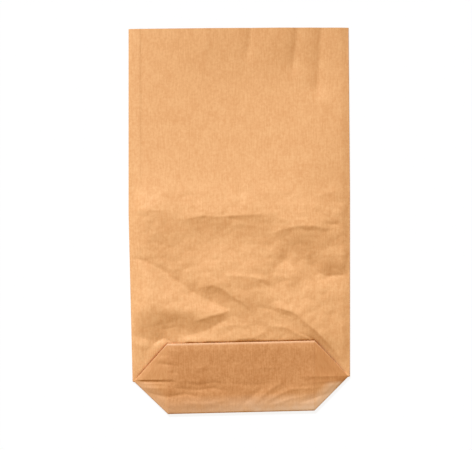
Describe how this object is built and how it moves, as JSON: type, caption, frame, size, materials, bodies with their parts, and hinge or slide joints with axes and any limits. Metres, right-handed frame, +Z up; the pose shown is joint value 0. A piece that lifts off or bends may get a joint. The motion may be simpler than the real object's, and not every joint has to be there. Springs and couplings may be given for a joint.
{
  "type": "paper bag",
  "caption": "Brown kraft paper sack with a cross bottom, empty and lying flat: open mouth, glued side seam and a folded bottom closed with a pasted patch",
  "frame": {"origin": "on the floor under the middle of the sack's bounding box", "axes": "+X across the sack, +Y from the folded bottom towards the mouth, +Z up from the floor, through the front wall"},
  "size_m": [0.2512, 0.4382, 0.0144],
  "materials": {
    "sack_kraft": "matt unbleached brown kraft paper, creased",
    "patch_kraft": "matt unbleached brown kraft paper, a shade darker"
  },
  "bodies": {
    "root": {"folded_sheet": "sack_kraft", "bottom_patch": "patch_kraft"}
  },
  "joints": []
}
